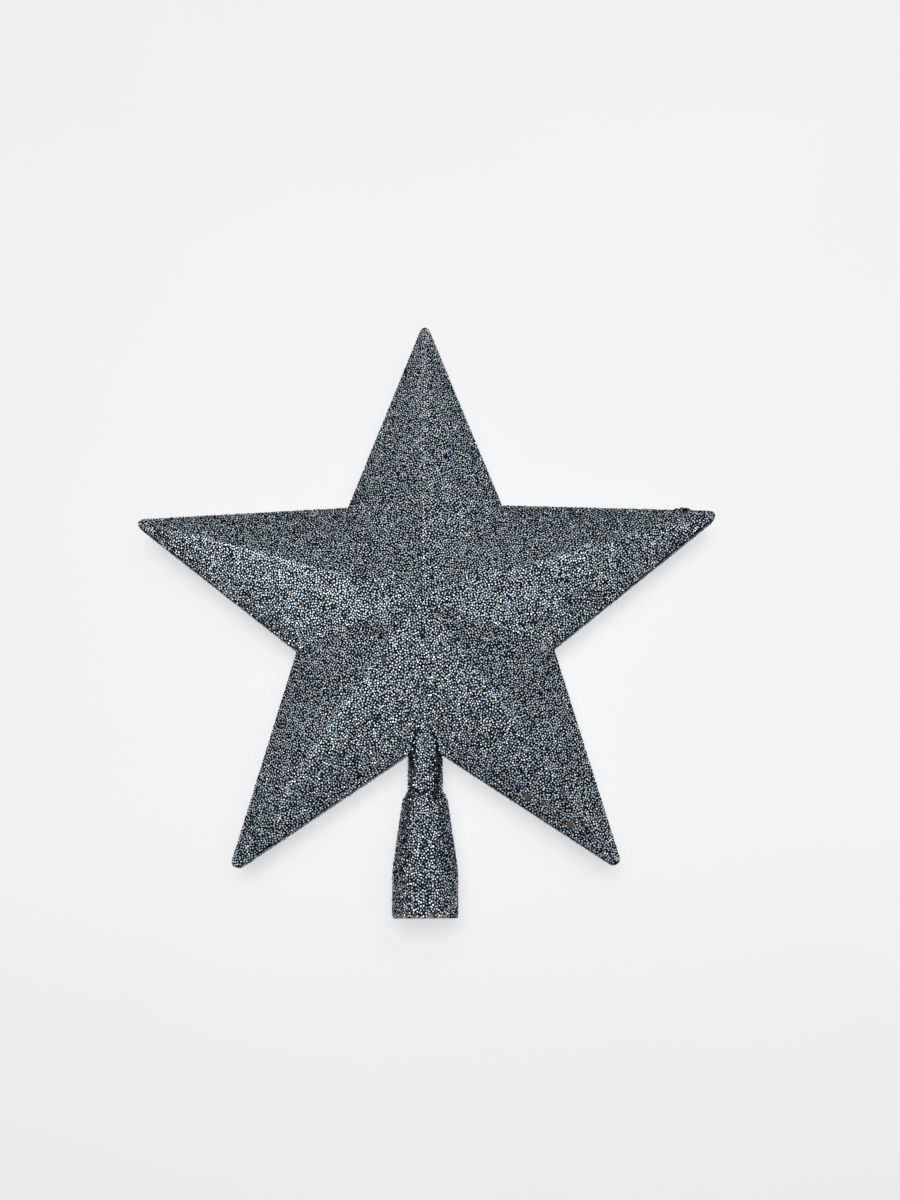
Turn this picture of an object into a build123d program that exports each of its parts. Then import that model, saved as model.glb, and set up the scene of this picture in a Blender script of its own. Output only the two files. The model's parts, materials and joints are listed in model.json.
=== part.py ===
from build123d import *
import os
from math import atan2, cos, hypot, radians, sin, sqrt

# Star, bare plastic, measured from its centre
point_count = 5
tip_radius = 103.9          # to where an arm's two edges would meet
notch_radius = 43.6         # to the inner corners
tip_rounding = 1.5
rim_depth = 2.0             # straight edge of one half, from the parting plane
crown_depth = 18.1          # parting plane to the middle of one half
facet_bulge = 1.5           # swell of a facet past its chord
shell_wall = 1.5

# Lapped rim between the halves
lap_depth = 1.0
lap_wall = 0.7
lap_clearance = 0.05

# Locating pegs, one in each arm
peg_distance = 62.0
peg_diameter = 3.0
peg_reach = 4.0
peg_clearance = 0.05
boss_diameter = 6.0

# Neck, moulded in two halves with the star
neck_diameter = 10.2
neck_root_radius = 32.0     # where the round of the neck sinks into the facets

# Sleeve for the tree's top twig, heights from its mouth
star_height = 98.2          # mouth to the star's centre
sleeve_length = 39.0
shoulder_height = 36.6
land_height = 14.6
seat_height = 27.0          # web that the neck stands on and that closes the sleeve
web_thickness = 1.6
sleeve_top_diameter = 11.0
shoulder_diameter = 13.4
land_diameter = 19.6        # straight stretch above the mouth
mouth_bore = 16.4
upper_bore = 11.6           # inside of the sleeve just under the web
neck_clearance = 0.05       # round the neck in the sleeve, filled with glue

# Glitter layer, glue and flakes together, laid on from the front and from the back
coat_thickness = 0.4
bare_rim = 0.4              # sleeve left bare above its mouth

overrun = 1.0               # length of a cut past the surface it goes through
edge_margin = 0.3           # facets drawn past the rim before the outline trims them

# Facet geometry, worked out from the star's sizes
step_angle = 360 / point_count
ridge_angle = 90
notch_angle = ridge_angle - step_angle / 2
notch_x = notch_radius * cos(radians(notch_angle))
notch_y = notch_radius * sin(radians(notch_angle))
edge_turn = atan2(notch_x, tip_radius - notch_y)
edge_distance = tip_radius * sin(edge_turn)
fall_angle = atan2(crown_depth - rim_depth, edge_distance)
facet_chord = hypot(edge_distance, crown_depth - rim_depth)
bulge_radius = facet_chord ** 2 / (8 * facet_bulge) + facet_bulge / 2
arc_reach = edge_distance / 2 - (bulge_radius - facet_bulge) * sin(fall_angle)
arc_depth = (crown_depth + rim_depth) / 2 - (bulge_radius - facet_bulge) * cos(fall_angle)

# Places along the neck, below the star's centre
neck_end = star_height - seat_height
sleeve_top = star_height - sleeve_length
neck_bore = neck_diameter - 2 * shell_wall

# The star is drawn flat, front up, then stood on its neck with the front towards -Y
upright = Location((0, 0, star_height), (90, 0, 0))
parting = Plane.XY


def facet_depth(inset, reach):
    run = reach - arc_reach
    return arc_depth + sqrt((bulge_radius - inset) ** 2 - run ** 2)


def star_outline(inset):
    growth = (edge_distance - inset) / edge_distance
    points = []
    for index in range(2 * point_count):
        radius = notch_radius if index % 2 else tip_radius
        angle = radians(ridge_angle + index * step_angle / 2)
        points.append((growth * radius * cos(angle), growth * radius * sin(angle)))
    outline = make_face(Polyline(*points, close=True))
    rounding = tip_rounding - inset
    if rounding > 0:
        tips = outline.vertices().sort_by_distance((0, 0, 0))[point_count:]
        outline = fillet(tips, rounding)
    return outline


def star_block(inset):
    reach = edge_distance - inset + edge_margin
    crown = facet_depth(inset, 0)
    rim = facet_depth(inset, reach)
    sides = Polyline((0, crown), (0, 0), (reach, 0), (reach, rim))
    swell = ThreePointArc((reach, rim), (reach / 2, facet_depth(inset, reach / 2)), (0, crown))
    across = (cos(edge_turn), sin(edge_turn), 0)
    along = (sin(edge_turn), -cos(edge_turn), 0)
    profile = Plane((0, 0, 0), x_dir=across, z_dir=along) * make_face(sides + swell)
    facet = extrude(profile, amount=2 * tip_radius, both=True)
    far = 2 * tip_radius
    corner = (far * cos(radians(notch_angle)), far * sin(radians(notch_angle)))
    sector = extrude(make_face(Polyline((0, 0), corner, (0, far), close=True)), amount=crown + overrun)
    half_arm = facet & sector
    arm = half_arm + mirror(half_arm, about=Plane.YZ)
    block = arm
    for index in range(1, point_count):
        block += Rot(0, 0, index * step_angle) * arm
    return block & extrude(star_outline(inset), amount=crown + overrun)


def half_round(diameter, start, end):
    length = end - start
    rod = Pos(0, -start, 0) * Rot(90, 0, 0) * Cylinder(
        diameter / 2, length, align=(Align.CENTER, Align.CENTER, Align.MIN))
    return split(rod, bisect_by=parting, keep=Keep.TOP)


def star_half(inset, neck_stop):
    return star_block(inset) + half_round(neck_diameter - 2 * inset, neck_root_radius, neck_stop)


def hollow_half():
    cavity = star_block(shell_wall) + half_round(neck_bore, 0, neck_end + overrun)
    return star_half(0, neck_end) - cavity


def lap_ring(outer_inset, depth, neck_room):
    ring = extrude(star_outline(outer_inset), amount=-depth)
    ring -= extrude(star_outline(shell_wall), amount=-depth)
    keep_clear = Rot(90, 0, 0) * Cylinder(
        neck_diameter / 2 + neck_room, tip_radius, align=(Align.CENTER, Align.CENTER, Align.MIN))
    return ring - keep_clear


def peg_places():
    return PolarLocations(peg_distance, point_count, start_angle=ridge_angle)


def bosses():
    post = Cylinder(boss_diameter / 2, crown_depth, align=(Align.CENTER, Align.CENTER, Align.MIN))
    posts = peg_places() * post
    inside = star_block(shell_wall / 2)
    return [post & inside for post in posts]


def front_shell():
    shell = hollow_half() + bosses()
    shell += lap_ring(shell_wall - lap_wall, lap_depth, 2 * lap_clearance)
    peg = Cylinder(peg_diameter / 2, 2 * peg_reach)
    return shell + peg_places() * peg


def back_shell():
    shell = hollow_half() + bosses()
    groove = lap_ring(shell_wall - lap_wall - lap_clearance, lap_depth + lap_clearance, lap_clearance)
    hole = Cylinder(peg_diameter / 2 + peg_clearance, 2 * (peg_reach + peg_clearance))
    shell -= mirror(groove, about=parting)
    shell -= peg_places() * hole
    return mirror(shell, about=parting)


def tree_socket():
    neck_seat = neck_diameter / 2 + neck_clearance
    web_bottom = seat_height - web_thickness
    section = Polyline(
        (mouth_bore / 2, 0),
        (land_diameter / 2, 0),
        (land_diameter / 2, land_height),
        (shoulder_diameter / 2, shoulder_height),
        (sleeve_top_diameter / 2, sleeve_length),
        (neck_seat, sleeve_length),
        (neck_seat, seat_height),
        (0, seat_height),
        (0, web_bottom),
        (upper_bore / 2, web_bottom),
        (mouth_bore / 2, land_height),
        close=True)
    return revolve(Plane.XZ * make_face(section), axis=Axis.Z)


def sleeve_coat():
    top_radius = sleeve_top_diameter / 2
    section = Polyline(
        (land_diameter / 2, bare_rim),
        (land_diameter / 2 + coat_thickness, bare_rim),
        (land_diameter / 2 + coat_thickness, land_height),
        (shoulder_diameter / 2 + coat_thickness, shoulder_height),
        (top_radius, sleeve_length + coat_thickness),
        (top_radius, sleeve_length),
        (shoulder_diameter / 2, shoulder_height),
        (land_diameter / 2, land_height),
        close=True)
    ring = revolve(Plane.XZ * make_face(section), axis=Axis.Z)
    return split(ring, bisect_by=Plane.XZ, keep=Keep.TOP)


def front_glitter_coat():
    star_coat = star_half(-coat_thickness, sleeve_top) - star_half(0, neck_end)
    return upright * star_coat + sleeve_coat()


def back_glitter_coat():
    return mirror(front_glitter_coat(), about=Plane.XZ)


os.makedirs("parts", exist_ok=True)
export_step(upright * front_shell(), "parts/front_shell.step")
export_step(upright * back_shell(), "parts/back_shell.step")
export_step(tree_socket(), "parts/tree_socket.step")
export_step(front_glitter_coat(), "parts/front_glitter_coat.step")
export_step(back_glitter_coat(), "parts/back_glitter_coat.step")
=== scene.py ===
import bpy
import bmesh
import json
import math
from mathutils import Matrix, Vector
from mathutils.bvhtree import BVHTree

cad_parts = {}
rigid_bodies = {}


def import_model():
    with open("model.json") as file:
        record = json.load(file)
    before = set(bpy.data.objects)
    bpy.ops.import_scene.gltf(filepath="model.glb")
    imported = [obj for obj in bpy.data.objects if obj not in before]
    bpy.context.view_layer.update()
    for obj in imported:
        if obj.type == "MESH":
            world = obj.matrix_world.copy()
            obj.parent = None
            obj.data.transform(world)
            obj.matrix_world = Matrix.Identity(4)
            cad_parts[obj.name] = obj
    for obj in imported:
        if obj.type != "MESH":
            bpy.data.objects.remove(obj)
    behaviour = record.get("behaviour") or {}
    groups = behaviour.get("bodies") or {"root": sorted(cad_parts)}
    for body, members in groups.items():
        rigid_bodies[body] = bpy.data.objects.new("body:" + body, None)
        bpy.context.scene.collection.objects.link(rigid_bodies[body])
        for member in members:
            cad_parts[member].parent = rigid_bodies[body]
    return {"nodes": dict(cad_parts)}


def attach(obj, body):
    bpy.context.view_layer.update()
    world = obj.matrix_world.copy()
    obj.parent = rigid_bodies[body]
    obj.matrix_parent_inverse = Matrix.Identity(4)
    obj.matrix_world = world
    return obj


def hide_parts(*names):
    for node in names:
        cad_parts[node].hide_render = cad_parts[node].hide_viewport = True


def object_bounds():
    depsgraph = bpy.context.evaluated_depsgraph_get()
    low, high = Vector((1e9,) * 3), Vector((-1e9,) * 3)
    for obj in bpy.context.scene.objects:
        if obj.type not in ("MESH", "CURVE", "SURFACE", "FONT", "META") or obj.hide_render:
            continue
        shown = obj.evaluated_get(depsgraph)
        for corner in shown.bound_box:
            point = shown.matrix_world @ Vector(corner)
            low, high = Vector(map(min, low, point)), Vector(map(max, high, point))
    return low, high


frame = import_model()
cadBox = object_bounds()
armCount = 5
armStep = 360.0 / armCount  # degrees from one arm to the next
starCentre = Vector((0.0, 0.0, 0.0982))  # middle of the star, above the socket's mouth
backTouch = 0.0186  # the back of the star touches the pale table here
noiseSpan = (0.3, 0.7)  # most of a noise lies between these
print("frame loaded:", ", ".join(frame["nodes"]))


def put(tree, kind, sockets=None, **props):
    node = tree.nodes.new(kind)
    for key, value in props.items():
        setattr(node, key, value)
    for key, value in (sockets or {}).items():
        if isinstance(value, bpy.types.NodeSocket):
            tree.links.new(value, node.inputs[key])
        else:
            node.inputs[key].default_value = value
    return node


def mathNode(tree, operation, first, second):
    return put(tree, "ShaderNodeMath", {0: first, 1: second}, operation=operation).outputs[0]


def vectorNode(tree, operation, first, second):
    node = put(tree, "ShaderNodeVectorMath", {0: first, 1: second}, operation=operation)
    return node.outputs["Value" if operation == "DISTANCE" else "Vector"]


def scaleNode(tree, vector, scale):
    node = put(tree, "ShaderNodeVectorMath", {0: vector, "Scale": scale}, operation="SCALE")
    return node.outputs["Vector"]


def lessNode(tree, first, second):
    node = put(tree, "FunctionNodeCompare", {"A": first, "B": second}, operation="LESS_THAN")
    return node.outputs[0]


def rangeNode(tree, value, given, wanted, **props):
    sockets = {"Value": value, "From Min": given[0], "From Max": given[1],
               "To Min": wanted[0], "To Max": wanted[1]}
    return put(tree, "ShaderNodeMapRange", sockets, **props).outputs[0]


def noiseNode(tree, place, scale, detail=2.0):
    sockets = {"Vector": place, "Scale": scale, "Detail": detail}
    return put(tree, "ShaderNodeTexNoise", sockets).outputs["Fac"]


def mixColours(tree, share, first, second, blend="MIX"):
    sockets = {0: share, 6: first, 7: second}  # a Mix node keeps its colours in 6 and 7
    node = put(tree, "ShaderNodeMix", sockets, data_type="RGBA", blend_type=blend)
    return node.outputs[2]


def storeNode(tree, geometry, name, value, domain):
    sockets = {"Geometry": geometry, "Name": name, "Value": value}
    node = put(tree, "GeometryNodeStoreNamedAttribute", sockets, data_type="FLOAT", domain=domain)
    return node.outputs[0]


def ramp(tree, fac, stops):
    node = put(tree, "ShaderNodeValToRGB", {"Fac": fac})
    elements = node.color_ramp.elements
    while len(elements) < len(stops):
        elements.new(1.0)
    for element, (place, colour) in zip(elements, stops):
        element.position = place
        element.color = (*colour, 1.0)
    return node.outputs["Color"]


def newMaterial(name):
    material = bpy.data.materials.new(name)
    material.use_nodes = True
    material.node_tree.nodes.clear()
    return material, material.node_tree


# Camera, where the photograph was taken from
cameraSet = {
    "place": (0.0189, -0.3835, 0.0),
    "aim": (0.0082, 0.0, 0.1018),
    "roll": -0.33,  # degrees
    "lens": 36.0,
    "sensor": 36.0,
    "clip": (0.01, 20.0),
}


def makeCamera(look):
    data = bpy.data.cameras.new("photoCamera")
    data.lens = look["lens"]
    data.sensor_width = look["sensor"]
    data.clip_start, data.clip_end = look["clip"]
    camera = bpy.data.objects.new("photoCamera", data)
    place = Vector(look["place"])
    facing = (Vector(look["aim"]) - place).to_track_quat("-Z", "Y").to_matrix()
    rolled = facing @ Matrix.Rotation(math.radians(look["roll"]), 3, "Z")
    camera.location = place
    camera.rotation_euler = rolled.to_euler()
    bpy.context.collection.objects.link(camera)
    bpy.context.scene.camera = camera


makeCamera(cameraSet)
bpy.context.scene.view_settings.view_transform = "Standard"
print("camera set")

# Pale room and soft lamps
roomSet = {"pale": (0.9, 0.9, 0.905), "ambient": (0.045, 0.045, 0.046)}
lampSet = {
    "distance": 1.0,
    # size of the lamps, then for each one its degrees off the star's face,
    # its degrees round it and its share of full light
    "key": (0.3, [(1, 60, 0.19)]),
    "soft": (0.8, [(7, 20, 0.2)]),
    "fill": (0.6, [
        (25, 90, 0.245), (25, 234, 0.06), (25, 306, 0.12),
        (45, 54, 0.075), (45, 162, 0.06), (45, 198, 0.195),
        (45, 234, 0.045), (45, 306, 0.055), (45, 342, 0.095),
        (65, 18, 0.065), (65, 54, 0.055), (65, 90, 0.075), (65, 126, 0.07), (65, 162, 0.05),
    ]),
    "back": (0.9, [
        (35, 60, 0.3), (35, 180, 0.3), (35, 300, 0.3),
        (65, 0, 0.2), (65, 120, 0.2), (65, 240, 0.2),
    ]),
}


def makeRoom(look):
    world = bpy.data.worlds.new("paleRoom")
    world.use_nodes = True
    tree = world.node_tree
    tree.nodes.clear()
    path = put(tree, "ShaderNodeLightPath").outputs
    seen = mathNode(tree, "MAXIMUM", path["Is Camera Ray"], path["Is Glossy Ray"])
    seen = mathNode(tree, "MAXIMUM", seen, path["Is Transmission Ray"])
    dim = put(tree, "ShaderNodeBackground", {"Color": (*look["ambient"], 1.0)}).outputs[0]
    pale = put(tree, "ShaderNodeBackground", {"Color": (*look["pale"], 1.0)}).outputs[0]
    mix = put(tree, "ShaderNodeMixShader", {0: seen, 1: dim, 2: pale}).outputs[0]
    put(tree, "ShaderNodeOutputWorld", {"Surface": mix})
    bpy.context.scene.world = world


def makeLamp(name, towards, away, size, share):
    data = bpy.data.lights.new(name, "AREA")
    data.shape = "SQUARE"
    data.size = size
    data.energy = share * (math.pi * away) ** 2  # a share of 1 shows a white face as white
    lamp = bpy.data.objects.new(name, data)
    lamp.location = starCentre + towards * away
    lamp.rotation_euler = (-towards).to_track_quat("-Z", "Y").to_euler()
    lamp.visible_camera = False
    bpy.context.collection.objects.link(lamp)
    return lamp


def makeLamps(look):
    for kind, side in (("key", -1.0), ("soft", -1.0), ("fill", -1.0), ("back", 1.0)):
        size, ring = look[kind]
        for off, around, share in ring:
            tilt, turn = math.radians(off), math.radians(around)
            across, out = math.sin(tilt), side * math.cos(tilt)
            towards = Vector((across * math.cos(turn), out, across * math.sin(turn)))
            name = "%sLamp%d_%d" % (kind, off, around)
            lamp = makeLamp(name, towards, look["distance"], size, share)
            lamp.data.use_shadow = kind != "fill"


makeRoom(roomSet)
makeLamps(lampSet)
print("room lit")

# Pale table that the star lies against, fading into the room, open from behind
tableSet = {
    "reach": 0.6,
    "fade": (0.26, 0.5),  # solid up to the first distance, gone at the second
    "colour": (0.92, 0.92, 0.926),
    "cloud": 9.0,  # scale of the faint clouds in its colour
    "grain": 0.01,  # how much darker they are
    "glow": 0.605,  # share of white light in which the camera sees the table, besides its lamps
    "lower": (-0.085, 0.04),  # heights between which the glow falls off, a painted shade darker towards the bottom
    "lowerGlow": 0.905,  # share of it left at the lower height
}


def tableMaterial(look):
    material, tree = newMaterial("paleTable")
    coords = put(tree, "ShaderNodeTexCoord").outputs["Object"]
    offset = vectorNode(tree, "DISTANCE", coords, (0.0, backTouch, starCentre.z))
    fade = rangeNode(tree, offset, look["fade"], (1.0, 0.0), interpolation_type="SMOOTHSTEP")
    dull = tuple(c - look["grain"] for c in look["colour"])
    noise = noiseNode(tree, coords, look["cloud"])
    tone = ramp(tree, noise, list(zip(noiseSpan, (dull, look["colour"]))))
    path = put(tree, "ShaderNodeLightPath").outputs
    behind = put(tree, "ShaderNodeNewGeometry").outputs["Backfacing"]
    front = mathNode(tree, "SUBTRACT", 1.0, behind)
    shown = mathNode(tree, "MULTIPLY", path["Is Camera Ray"], front)
    shown = mathNode(tree, "MULTIPLY", shown, fade)
    # painted shade: the table's glow is lower towards the bottom
    height = put(tree, "ShaderNodeSeparateXYZ", {0: coords}).outputs["Z"]
    glow = rangeNode(tree, height, look["lower"], (look["lowerGlow"] * look["glow"], look["glow"]))
    lit = put(tree, "ShaderNodeBsdfDiffuse", {"Color": tone}).outputs[0]
    even = put(tree, "ShaderNodeEmission", {"Color": tone, "Strength": glow}).outputs[0]
    paint = put(tree, "ShaderNodeAddShader", {0: lit, 1: even}).outputs[0]
    clear = put(tree, "ShaderNodeBsdfTransparent").outputs[0]
    mix = put(tree, "ShaderNodeMixShader", {0: shown, 1: clear, 2: paint}).outputs[0]
    put(tree, "ShaderNodeOutputMaterial", {"Surface": mix})
    return material


def makeTable(look):
    reach = look["reach"]
    corners = [(-reach, -reach), (reach, -reach), (reach, reach), (-reach, reach)]
    mesh = bpy.data.meshes.new("paleTable")
    mesh.from_pydata([(x, backTouch, starCentre.z + z) for x, z in corners], [], [(0, 1, 2, 3)])
    mesh.materials.append(tableMaterial(look))
    table = bpy.data.objects.new("paleTable", mesh)
    bpy.context.collection.objects.link(table)
    return table


def shareLamps(table):
    # key and soft lamps light the table alone and throw the star's shadow on it,
    # the others light the star
    for kinds, state in ((("key", "soft"), "INCLUDE"), (("fill", "back"), "EXCLUDE")):
        lit = bpy.data.collections.new("litBy" + kinds[0].title())
        lit.objects.link(table)
        lit.collection_objects[0].light_linking.link_state = state
        for lamp in bpy.data.objects:
            if lamp.type == "LIGHT" and lamp.name.startswith(kinds):
                lamp.light_linking.receiver_collection = lit


shareLamps(makeTable(tableSet))
print("table laid")

# Places where the glitter has rubbed off, most on the lower right arm and at the socket's mouth
wearSet = {
    "raggedScale": 900.0,
    "ragged": (0.6, 1.4),  # least and most share of a spot's reach
    "bareReach": 0.0008,  # bare plastic shows this far past the missing flakes
    "spots": [  # place on the shell, reach
        ((0.0324, -0.0043, 0.0368), 0.00125),
        ((0.0452, -0.0042, 0.0280), 0.00115),
        ((0.0430, -0.0079, 0.0374), 0.00075),
        ((0.0398, -0.0032, 0.0297), 0.00060),
        ((0.0493, -0.0056, 0.0282), 0.00060),
        ((0.0365, -0.0044, 0.0341), 0.00050),
        ((-0.0123, -0.0155, 0.0787), 0.00095),
        ((-0.0634, -0.0038, 0.1048), 0.00050),
        ((-0.0756, -0.0072, 0.1232), 0.00050),
        ((-0.0043, -0.0093, 0.0141), 0.00050),
        ((0.0066, -0.0078, 0.0001), 0.00075),
        ((0.0052, -0.0088, 0.0001), 0.00070),
        ((0.0023, -0.0100, 0.0005), 0.00095),
        ((-0.0024, -0.0099, 0.0001), 0.00085),
        ((-0.0064, -0.0079, 0.0001), 0.00085),
        ((-0.0080, -0.0063, 0.0001), 0.00080),
    ],
}

# Plastic of the shells and the sleeve under the glitter
plasticSet = {
    "grain": (420.0, 4.0),  # noise scale and detail
    "mottle": (0.35, 0.65),  # noise at the two colours of the glue and of the bare plastic
    "glue": ((0.004, 0.005, 0.007), (0.014, 0.018, 0.023)),
    "bump": (0.3, 0.0002),  # strength and height
    "gloss": 0.12,
}
shellSet = {
    **plasticSet,
    "bare": ((0.060, 0.046, 0.035), (0.140, 0.108, 0.085)),
    "rough": (0.45, 0.7),
}
sleeveSet = {
    **plasticSet,
    "bare": ((0.170, 0.137, 0.108), (0.420, 0.350, 0.290)),
    "rough": (0.4, 0.65),
    "bareHeight": 0.0005,  # worn band at the mouth
    "patchScale": 260.0,
    "patches": (0.52, 0.75),  # noise from no band to the full band
}


def plasticMaterial(name, look, mask):
    material, tree = newMaterial(name)
    coords = put(tree, "ShaderNodeTexCoord").outputs["Object"]
    noise = noiseNode(tree, coords, *look["grain"])
    glue = ramp(tree, noise, list(zip(look["mottle"], look["glue"])))
    bare = ramp(tree, noise, list(zip(look["mottle"], look["bare"])))
    strength, height = look["bump"]
    sockets = {"Height": noise, "Strength": strength, "Distance": height}
    shader = put(tree, "ShaderNodeBsdfPrincipled", {
        "Base Color": mixColours(tree, mask(tree, coords), glue, bare),
        "Roughness": rangeNode(tree, noise, (0.0, 1.0), look["rough"]),
        "Normal": put(tree, "ShaderNodeBump", sockets).outputs[0],
        "Specular IOR Level": look["gloss"],
    })
    put(tree, "ShaderNodeOutputMaterial", {"Surface": shader.outputs[0]})
    return material


def spotMask(tree, coords):
    bare = 0.0
    for spot, reach in wearSet["spots"]:
        far = vectorNode(tree, "DISTANCE", coords, spot)
        near = mathNode(tree, "LESS_THAN", far, reach + wearSet["bareReach"])
        bare = mathNode(tree, "MAXIMUM", bare, near)
    return bare


def mouthMask(tree, coords):
    height = put(tree, "ShaderNodeSeparateXYZ", {0: coords}).outputs["Z"]
    patch = noiseNode(tree, coords, sleeveSet["patchScale"])
    band = rangeNode(tree, patch, sleeveSet["patches"], (0.0, sleeveSet["bareHeight"]))
    worn = mathNode(tree, "LESS_THAN", height, band)
    return mathNode(tree, "MAXIMUM", worn, spotMask(tree, coords))


shellPlastic = plasticMaterial("gluedShell", shellSet, spotMask)
sleevePlastic = plasticMaterial("gluedSleeve", sleeveSet, mouthMask)
plastics = {"front_shell": shellPlastic, "back_shell": shellPlastic, "tree_socket": sleevePlastic}
for node, plastic in plastics.items():
    for slot in frame["nodes"][node].material_slots:
        slot.material = plastic
print("shells and sleeve finished")

# Glitter flakes: a close dark layer with brighter flakes spread evenly over it
flakeSet = {
    "seeds": {"front": 60, "back": 180},
    "dark": {
        "spacing": 0.00030,
        "radius": 0.00026,
        "sink": (0.00026, 0.00042),  # depth in the glue
        "stray": 0.00002,  # off the even spread
        "tone": (0.0, 0.48),
    },
    "bright": {
        "spacing": 0.00070,
        "radius": 0.000285,
        "sink": (0.00016, 0.00024),
        "stray": 0.00005,
        "tone": (0.55, 1.0),
    },
    "most": 5.0e7,  # flakes per square metre before the spacing thins them
    "corners": 4,  # a flake is a flat cone with its point in the glue
    "depth": 0.0002,
    "tilt": {"arm": 6.5, "Stem": 15.0},  # most, in degrees
    "scale": (0.75, 1.25),
    "strips": 0.08,  # share of long strips
    "stripScale": (1.7, 0.65, 1.0),
    "ridgeHighlight": (1.6, 0.09),  # painted highlight along each arm's ridge: half width in degrees, how much lighter
    "clouds": (230.0, 0.06),  # lighter and darker areas of the coat: scale, how much lighter
    "tones": [
        (0.00, (0.002, 0.003, 0.004)),
        (0.25, (0.005, 0.007, 0.010)),
        (0.45, (0.016, 0.023, 0.031)),
        (0.50, (0.053, 0.067, 0.081)),
        (0.55, (0.284, 0.325, 0.355)),
        (0.90, (0.485, 0.529, 0.563)),
        (1.00, (0.650, 0.696, 0.730)),
    ],
    "tints": [
        (0.00, (0.74, 0.96, 1.19)),
        (0.18, (0.89, 1.00, 1.07)),
        (0.50, (1.00, 1.00, 1.00)),
        (0.80, (1.13, 1.00, 0.90)),
        (1.00, (0.81, 1.04, 1.08)),
    ],
    "under": (0.006, 0.008, 0.011),  # glue on the undersides
    "metal": 0.92,
    "gloss": 0.15,
    "edge": (0.36, 0.39, 0.43),  # flakes darken when seen from the side
    "rough": (0.12, 0.26),
}


def flakeMaterial(look):
    material, tree = newMaterial("slateGlitter")
    tone, tint, top = (
        put(tree, "ShaderNodeAttribute", attribute_name=name).outputs["Fac"]
        for name in ("flakeTone", "flakeTint", "flakeTop"))
    plain = ramp(tree, tone, look["tones"])
    face = mixColours(tree, 1.0, plain, ramp(tree, tint, look["tints"]), "MULTIPLY")
    shader = put(tree, "ShaderNodeBsdfPrincipled", {
        "Base Color": mixColours(tree, top, (*look["under"], 1.0), face),
        "Roughness": rangeNode(tree, tint, (0.0, 1.0), look["rough"]),
        "Metallic": mathNode(tree, "MULTIPLY", top, look["metal"]),
        "Specular IOR Level": look["gloss"],
        "Specular Tint": (*look["edge"], 1.0),
    })
    put(tree, "ShaderNodeOutputMaterial", {"Surface": shader.outputs[0]})
    return material


def rubbedOff(tree, place):
    ragged = noiseNode(tree, place, wearSet["raggedScale"])
    wander = rangeNode(tree, ragged, noiseSpan, wearSet["ragged"])
    rubbed = False
    for spot, reach in wearSet["spots"]:
        far = vectorNode(tree, "DISTANCE", place, spot)
        near = lessNode(tree, far, mathNode(tree, "MULTIPLY", wander, reach))
        either = put(tree, "FunctionNodeBooleanMath", {0: rubbed, 1: near}, operation="OR")
        rubbed = either.outputs[0]
    return rubbed


# painted highlight: flakes near each arm's ridge line get a lighter tone
def paintedRidgeHighlight(tree, place, look):
    width, lift = look["ridgeHighlight"]
    axes = put(tree, "ShaderNodeSeparateXYZ", {0: place}).outputs
    up = mathNode(tree, "SUBTRACT", axes["Z"], starCentre.z)
    around = mathNode(tree, "ARCTAN2", axes["X"], up)
    angle = mathNode(tree, "PINGPONG", around, math.radians(armStep / 2.0))
    return rangeNode(tree, angle, (0.0, math.radians(width)), (lift, 0.0))


def cloudLift(tree, place, look):
    scale, lift = look["clouds"]
    return rangeNode(tree, noiseNode(tree, place, scale), noiseSpan, (-lift, lift))


def flakeShape(tree, radius, depth, look):
    cone = put(tree, "GeometryNodeMeshCone", {
        "Vertices": look["corners"],
        "Radius Top": radius,
        "Radius Bottom": 0.0,
        "Depth": depth,
    }).outputs
    return storeNode(tree, cone["Mesh"], "flakeTop", cone["Top"], "FACE")


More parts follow.
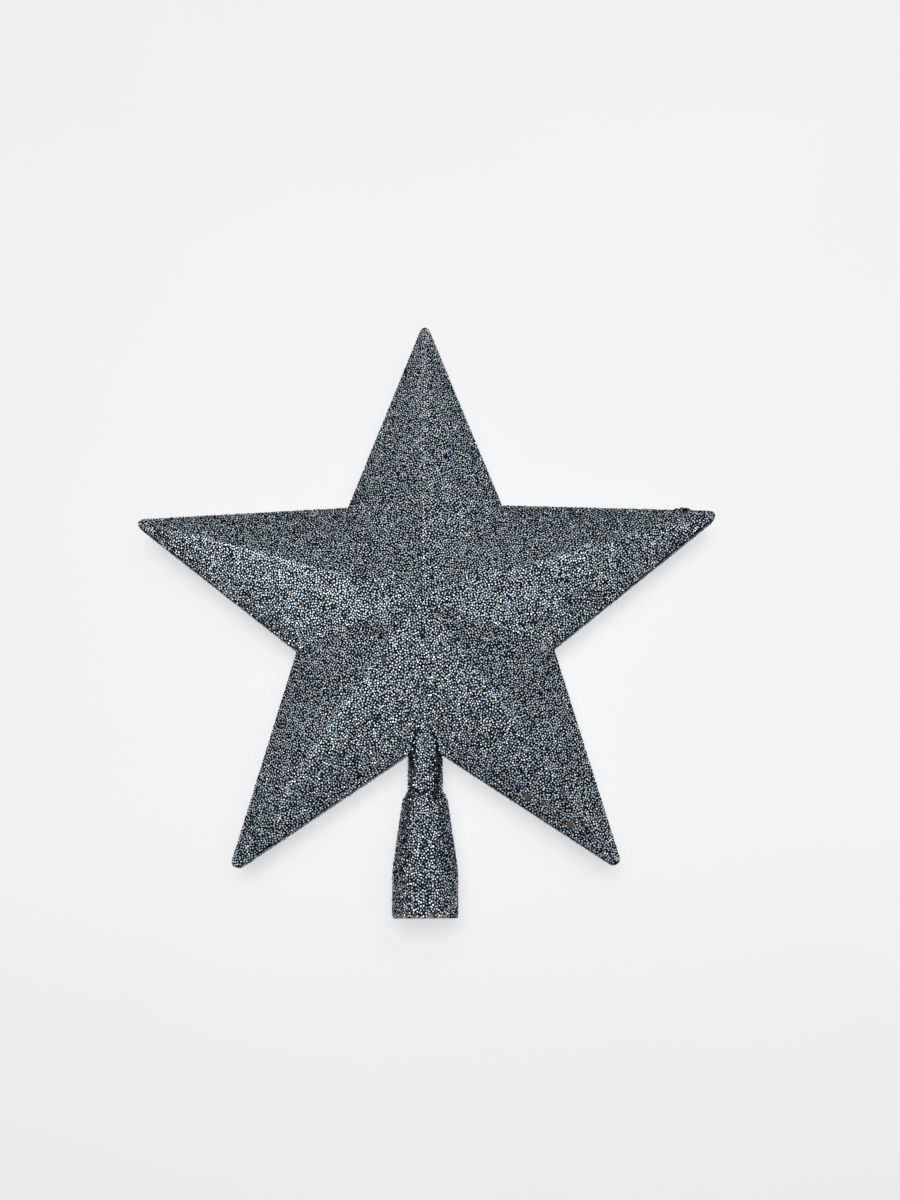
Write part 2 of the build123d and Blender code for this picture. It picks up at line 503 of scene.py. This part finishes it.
def flakeTree(look, material):
    tree = bpy.data.node_groups.new("flakeCoat", "GeometryNodeTree")
    sizes = ["Dark Spacing", "Dark Radius", "Bright Spacing", "Bright Radius", "Flake Depth", "Tilt"]
    inputs = [("Geometry", "Geometry")] + [(label, "Float") for label in sizes]
    inputs += [("Part", "Int"), ("Seed", "Int")]
    for label, kind in inputs:
        tree.interface.new_socket(label, in_out="INPUT", socket_type="NodeSocket" + kind)
    tree.interface.new_socket("Geometry", in_out="OUTPUT", socket_type="NodeSocketGeometry")
    given = put(tree, "NodeGroupInput").outputs
    place = put(tree, "GeometryNodeInputPosition").outputs[0]
    angles = {"X": given["Tilt"], "Y": given["Tilt"], "Z": math.pi}
    tilt = put(tree, "ShaderNodeCombineXYZ", angles).outputs[0]
    step = 0

    def draw(low, high):
        nonlocal step
        step += 1
        # first input and output of a Random Value node for a vector or a number
        kind, first, result = ("FLOAT_VECTOR", 0, 0) if isinstance(low, tuple) else ("FLOAT", 2, 1)
        sockets = {"Seed": mathNode(tree, "ADD", given["Seed"], step), first: low, first + 1: high}
        return put(tree, "FunctionNodeRandomValue", sockets, data_type=kind).outputs[result]

    # the whole side is sown at once, so that no seam shows, and each piece keeps its own part
    part = put(tree, "GeometryNodeInputNamedAttribute", {"Name": "part"}, data_type="INT")
    sockets = {2: part.outputs[0], 3: given["Part"]}  # whole numbers
    differs = put(tree, "FunctionNodeCompare", sockets, data_type="INT", operation="NOT_EQUAL")
    layers = put(tree, "GeometryNodeJoinGeometry")
    for layer in ("Bright", "Dark"):
        own = look[layer.lower()]
        scatter = put(tree, "GeometryNodeDistributePointsOnFaces", {
            "Mesh": given["Geometry"],
            "Distance Min": given[layer + " Spacing"],
            "Density Max": look["most"],
            "Seed": given["Seed"],
        }, distribute_method="POISSON").outputs
        points = scatter["Points"]
        for missing in (differs.outputs[0], rubbedOff(tree, place)):
            sockets = {"Geometry": points, "Selection": missing}
            points = put(tree, "GeometryNodeDeleteGeometry", sockets, domain="POINT").outputs[0]
        # flakes lie in the glue at different depths and tilts
        least, most = own["sink"]
        stray = own["stray"]
        sink = scaleNode(tree, scatter["Normal"], draw(-most, -least))
        shift = vectorNode(tree, "ADD", sink, draw((-stray,) * 3, (stray,) * 3))
        laid = put(tree, "GeometryNodeSetPosition", {"Geometry": points, "Offset": shift})
        lean = vectorNode(tree, "MULTIPLY", draw((-1.0,) * 3, (1.0,) * 3), tilt)
        turn = put(tree, "FunctionNodeEulerToRotation", {"Euler": lean}).outputs[0]
        sockets = {"Rotation": scatter["Rotation"], "Rotate By": turn}
        turned = put(tree, "FunctionNodeRotateRotation", sockets, rotation_space="LOCAL")
        isStrip = lessNode(tree, draw(0.0, 1.0), look["strips"])
        sockets = {"Switch": isStrip, "False": (1.0, 1.0, 1.0), "True": look["stripScale"]}
        form = put(tree, "GeometryNodeSwitch", sockets, input_type="VECTOR").outputs[0]
        coat = put(tree, "GeometryNodeInstanceOnPoints", {
            "Points": laid.outputs[0],
            "Instance": flakeShape(tree, given[layer + " Radius"], given["Flake Depth"], look),
            "Rotation": turned.outputs[0],
            "Scale": scaleNode(tree, form, draw(*look["scale"])),
        }).outputs[0]
        # tone raised by the painted ridge highlight and by random lighter and darker clouds
        lift = mathNode(tree, "ADD", paintedRidgeHighlight(tree, place, look), cloudLift(tree, place, look))
        tone = mathNode(tree, "ADD", draw(*own["tone"]), lift)
        coat = storeNode(tree, coat, "flakeTone", tone, "INSTANCE")
        coat = storeNode(tree, coat, "flakeTint", draw(0.0, 1.0), "INSTANCE")
        tree.links.new(coat, layers.inputs[0])
    coat = put(tree, "GeometryNodeRealizeInstances", {"Geometry": layers.outputs[0]}).outputs[0]
    # no flake stands past the part's own box
    kept = vectorNode(tree, "MAXIMUM", place, cadBox[0])
    kept = vectorNode(tree, "MINIMUM", kept, cadBox[1])
    coat = put(tree, "GeometryNodeSetPosition", {"Geometry": coat, "Position": kept}).outputs[0]
    painted = put(tree, "GeometryNodeSetMaterial", {"Geometry": coat, "Material": material})
    put(tree, "NodeGroupOutput", {"Geometry": painted.outputs[0]})
    return tree


# Small beads of glue that caught more flakes, by the right tip and high on the top arm
lumpSet = {
    "rounds": 2,  # subdivisions of a bead
    "beads": [  # part, place, radius
        ("UpperRight", (0.0843, -0.0008, 0.1312), 0.0012),
        ("UpperRight", (0.0859, -0.0010, 0.1312), 0.0014),
        ("UpperRight", (0.0875, -0.0010, 0.1311), 0.0014),
        ("UpperRight", (0.0890, -0.0008, 0.1308), 0.0011),
        ("Top", (0.0072, -0.0006, 0.1816), 0.0010),
    ],
}


def lumpFaces(place, radius, look):
    lump = bmesh.new()
    there = Matrix.Translation(place)
    bmesh.ops.create_icosphere(lump, subdivisions=look["rounds"], radius=radius, matrix=there)
    faces = [[v.co.copy() for v in face.verts] for face in lump.faces]
    lump.free()
    return faces


# Glue in the creases where the neck meets the lower arms
creaseSet = {
    "heights": (0.0505, 0.0615),
    "rows": 14,
    "grain": 0.0001,  # step in the search for the crease, from the neck outwards
    "steps": 90,
    "reach": 14,  # steps from the crease to the edges of the glue
    "start": 0.05,  # the search looks in from this far out
}


def creaseEdges(surface, height, turn, side, look):
    hits = []
    for step in range(look["steps"]):
        start = Vector((turn * step * look["grain"], side * look["start"], height))
        hit = surface.ray_cast(start, Vector((0.0, -side, 0.0)))[0]
        if hit is None:
            break
        hits.append(hit)
    deepest = min(range(len(hits)), key=lambda step: side * hits[step].y)
    first, last = deepest - look["reach"], deepest + look["reach"]
    return (hits[first], hits[last]) if first >= 0 and last < len(hits) else None


def creaseFaces(surface, side, look):
    faces = []
    low, high = look["heights"]
    heights = [low + (high - low) * row / look["rows"] for row in range(look["rows"] + 1)]
    for turn in (-1.0, 1.0):
        edges = [creaseEdges(surface, height, turn, side, look) for height in heights]
        for under, over in zip(edges, edges[1:]):
            if under and over:
                face = [under[0], under[1], over[1], over[0]]
                faces.append(face if turn * side < 0.0 else face[::-1])
    return faces


# Parts of the coat, counted round from the top arm
partNames = ["Top", "UpperLeft", "LowerLeft", "LowerRight", "UpperRight", "Stem"]
coatSet = {
    "sleeveReach": 0.0106,
    "sleeveTop": 0.0398,
    "sleeveSlope": 0.95,  # faces that look up or down more than this are ends
    "neckReach": 0.0058,
    "neckTop": 0.07,
    "neckSlope": 0.05,
    "least": 0.002,  # outer faces look away from the middle by at least this much
    "weld": 1e-7,
}


def coatPart(face, look):
    centre, normal = face.calc_center_median(), face.normal
    around = math.hypot(centre.x, centre.y)
    onSleeve = centre.z < look["sleeveTop"] and around < look["sleeveReach"]
    upright = abs(normal.z) < look["neckSlope"]
    onNeck = centre.z < look["neckTop"] and around < look["neckReach"] and upright
    if onSleeve or onNeck:
        outward = normal.x * centre.x + normal.y * centre.y > 0.0
        return "Stem" if outward and abs(normal.z) < look["sleeveSlope"] else None
    if normal.dot(centre - starCentre) < look["least"]:
        return None
    angle = math.degrees(math.atan2(centre.z - starCentre.z, centre.x)) - 90.0  # from straight up
    return partNames[round(angle / armStep) % armCount]


def coatPatches(node, side, look):
    source = bmesh.new()
    source.from_mesh(frame["nodes"][node].data)
    bmesh.ops.remove_doubles(source, verts=source.verts, dist=look["weld"])
    source.normal_update()
    patches = {}
    for face in source.faces:
        part = coatPart(face, look)
        if part:
            patches.setdefault(part, []).append([v.co.copy() for v in face.verts])
    facing = -1.0 if side == "front" else 1.0
    patches["Stem"] += creaseFaces(BVHTree.FromBMesh(source), facing, creaseSet)
    source.free()
    return patches


def patchMesh(name, patches):
    points, faces, parts = [], [], []
    for part, corners in patches.items():
        for face in corners:
            faces.append(tuple(range(len(points), len(points) + len(face))))
            points += face
            parts.append(partNames.index(part))
    mesh = bpy.data.meshes.new(name)
    mesh.from_pydata(points, [], faces)
    mesh.attributes.new("part", "INT", "FACE").data.foreach_set("value", parts)
    return mesh


def layFlakes(name, mesh, tree, part, seed, node):
    patch = bpy.data.objects.new(name + "Patch", mesh)
    bpy.context.collection.objects.link(patch)
    coat = patch.modifiers.new("flakeCoat", "NODES")
    coat.node_group = tree
    sockets = [item for item in tree.interface.items_tree if item.in_out == "INPUT"]
    inputs = {item.name: item.identifier for item in sockets}
    for layer in ("Dark", "Bright"):
        coat[inputs[layer + " Spacing"]] = flakeSet[layer.lower()]["spacing"]
        coat[inputs[layer + " Radius"]] = flakeSet[layer.lower()]["radius"]
    coat[inputs["Flake Depth"]] = flakeSet["depth"]
    coat[inputs["Tilt"]] = math.radians(flakeSet["tilt"].get(part, flakeSet["tilt"]["arm"]))
    coat[inputs["Part"]] = partNames.index(part)
    coat[inputs["Seed"]] = seed
    graph = bpy.context.evaluated_depsgraph_get()
    plain = bpy.data.meshes.new_from_object(patch.evaluated_get(graph))
    plain.name = name
    piece = bpy.data.objects.new(name, plain)
    bpy.context.collection.objects.link(piece)
    bpy.data.objects.remove(patch)
    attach(piece, "root")
    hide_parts(node)
    return len(plain.polygons)


coatTree = flakeTree(flakeSet, flakeMaterial(flakeSet))
for side, seed in flakeSet["seeds"].items():
    node = side + "_glitter_coat"
    patches = coatPatches(node, side, coatSet)
    if side == "front":
        for part, place, radius in lumpSet["beads"]:
            patches[part] += lumpFaces(place, radius, lumpSet)
    mesh = patchMesh(side + "Coat", patches)
    for part in partNames:
        count = layFlakes(side + part + "Flakes", mesh, coatTree, part, seed, node)
        print(side, part, "flakes laid, faces:", count)
